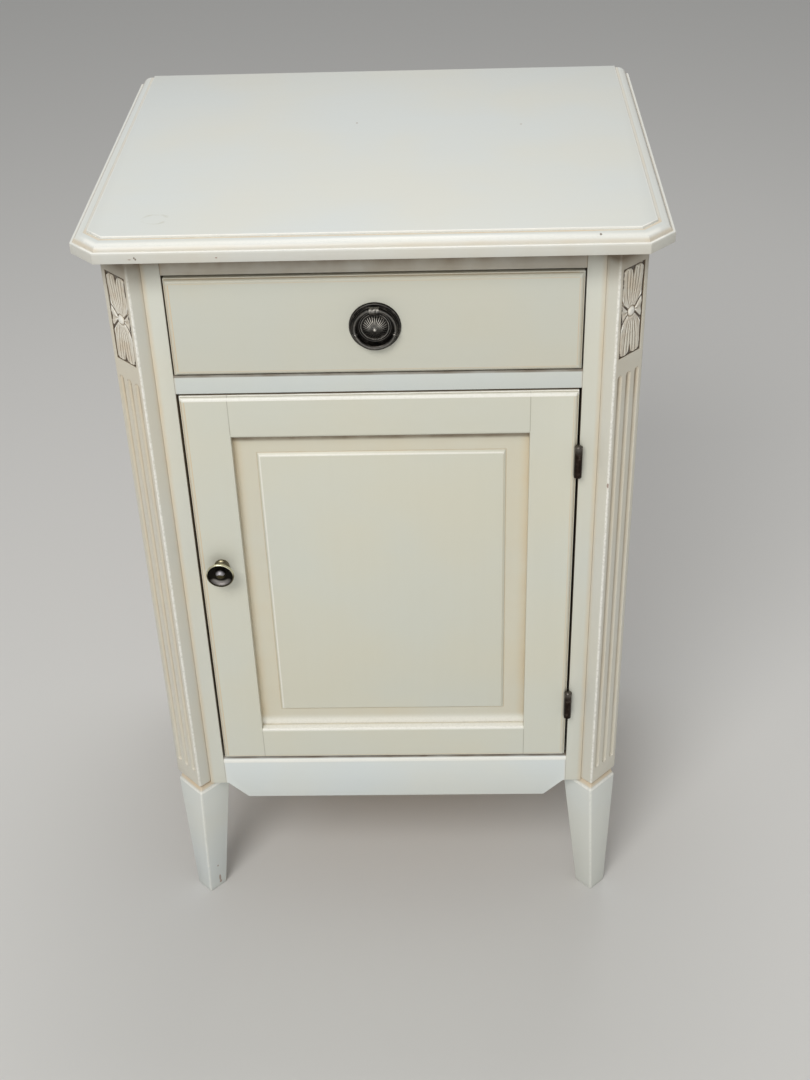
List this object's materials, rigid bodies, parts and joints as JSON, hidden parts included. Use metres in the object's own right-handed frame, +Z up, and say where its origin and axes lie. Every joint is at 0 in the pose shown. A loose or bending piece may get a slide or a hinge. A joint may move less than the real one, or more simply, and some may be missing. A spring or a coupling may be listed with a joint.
{
  "type": "side cabinet",
  "caption": "Cream-painted side cabinet: a ring-pull drawer over a panelled door, between canted fluted posts with carved panels, on tapered feet under a moulded top.",
  "frame": {"origin": "on the floor, below the middle of the top board", "axes": "+Z up, +Y from the front to the back, +X to the right of someone facing the front"},
  "size_m": [0.445, 0.364, 0.72],
  "materials": {
    "cream_paint": "satin cream paint on wood, with a tan glaze left in quirks, flutes and carving",
    "bare_wood": "plain unpainted wood",
    "plywood": "thin sanded plywood",
    "dark_bronze": "dark bronzed brass, rubbed bright on the high spots",
    "antique_brass": "aged brass, dark in the dished face",
    "steel": "plain bright steel",
    "catch_plastic": "brown moulded plastic"
  },
  "bodies": {
    "case": {"apron": "cream_paint", "back_panel": "plywood", "back_screws": "steel", "bottom_board": "bare_wood", "catch_screws": "steel", "drawer_divider": "bare_wood", "drawer_stops": "bare_wood", "foot_dowels": "bare_wood", "hinge_case_screws": "steel", "left_carved_panel": "cream_paint", "left_drawer_guide": "bare_wood", "left_frame_stile": "cream_paint", "left_front_foot": "cream_paint", "left_front_post": "cream_paint", "left_rear_foot": "cream_paint", "left_rear_post": "cream_paint", "left_side_panel": "cream_paint", "left_top_cleat": "bare_wood", "lower_hinge_case_leaf": "dark_bronze", "lower_hinge_pin": "dark_bronze", "magnet_catch": "catch_plastic", "middle_rail": "cream_paint", "rear_top_rail": "bare_wood", "right_carved_panel": "cream_paint", "right_drawer_guide": "bare_wood", "right_frame_stile": "cream_paint", "right_front_foot": "cream_paint", "right_front_post": "cream_paint", "right_rear_foot": "cream_paint", "right_rear_post": "cream_paint", "right_side_panel": "cream_paint", "right_top_cleat": "bare_wood", "shelf": "bare_wood", "shelf_supports": "steel", "top_board": "cream_paint", "top_rail": "cream_paint", "top_screws": "steel", "upper_hinge_case_leaf": "dark_bronze", "upper_hinge_pin": "dark_bronze"},
    "drawer": {"drawer_front": "cream_paint", "drawer_left_side": "bare_wood", "drawer_right_side": "bare_wood", "drawer_back": "bare_wood", "drawer_floor": "plywood", "pull_plate": "dark_bronze", "pull_eye_bolt": "dark_bronze", "pull_nut": "steel"},
    "ring": {"pull_ring": "dark_bronze"},
    "door": {"door_bottom_rail": "cream_paint", "door_left_stile": "cream_paint", "door_panel": "cream_paint", "door_right_stile": "cream_paint", "door_top_rail": "cream_paint", "knob": "antique_brass", "knob_screw": "steel", "strike_plate": "steel", "hinge_door_screws": "steel", "upper_hinge_door_leaf": "dark_bronze", "lower_hinge_door_leaf": "dark_bronze"}
  },
  "joints": [
    {"name": "drawer_slide", "type": "slide", "parent": "case", "child": "drawer", "axis": [0, -1, 0], "range_m": [0, 0.2]},
    {"name": "door_swing", "type": "hinge", "parent": "case", "child": "door", "pos_m": [0.1589, -0.15915, 0.38325], "axis": [0, 0, 1], "range_deg": [0, 165]},
    {"name": "ring_swing", "type": "hinge", "parent": "drawer", "child": "ring", "pos_m": [0, -0.1624, 0.6526], "axis": [-1, 0, 0], "range_deg": [0, 110]}
  ]
}
